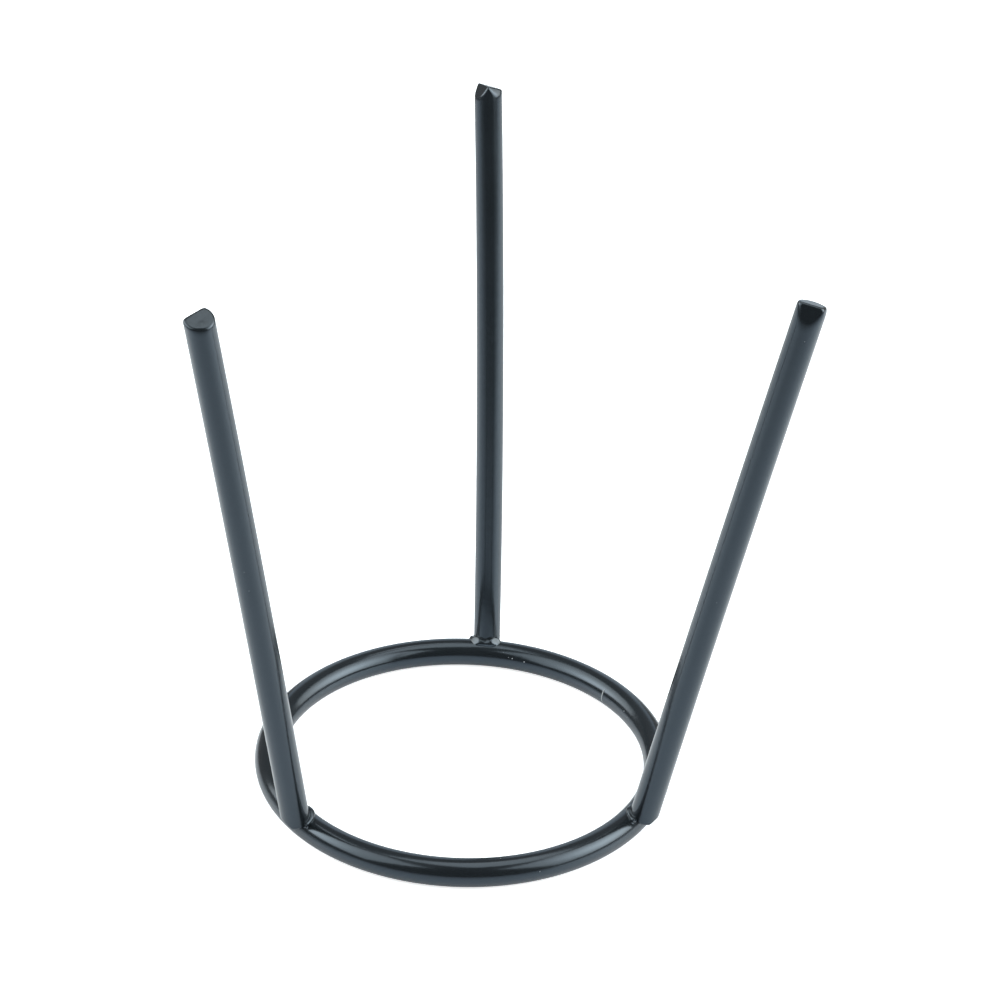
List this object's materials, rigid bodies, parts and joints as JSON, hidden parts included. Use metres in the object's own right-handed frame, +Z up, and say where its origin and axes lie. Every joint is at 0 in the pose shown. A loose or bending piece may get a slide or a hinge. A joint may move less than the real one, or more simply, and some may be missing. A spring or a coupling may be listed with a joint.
{
  "type": "lab tripod stand",
  "caption": "Small laboratory tripod welded from round steel bar: a flat ring with straight splayed legs, enamelled black, resting on its ring.",
  "frame": {"origin": "the middle of the ring, on the plane that the ring rests on", "axes": "+Z is up from the ring towards the free ends of the legs, and is the stand's axis; +Y points to the side of the back leg, which stands a few degrees off it; the left and right legs stand on the -Y side. In use the stand is turned over, so -Z is up."},
  "size_m": [0.1227, 0.1223, 0.1341],
  "materials": {
    "black_enamel": "gloss black stoving enamel on mild steel bar, with a faint blue cast, slight orange peel and a few dust nibs"
  },
  "bodies": {
    "root": {"ring": "black_enamel", "leg_back": "black_enamel", "leg_left": "black_enamel", "leg_right": "black_enamel", "weld_back": "black_enamel", "weld_left": "black_enamel", "weld_right": "black_enamel"}
  },
  "joints": []
}
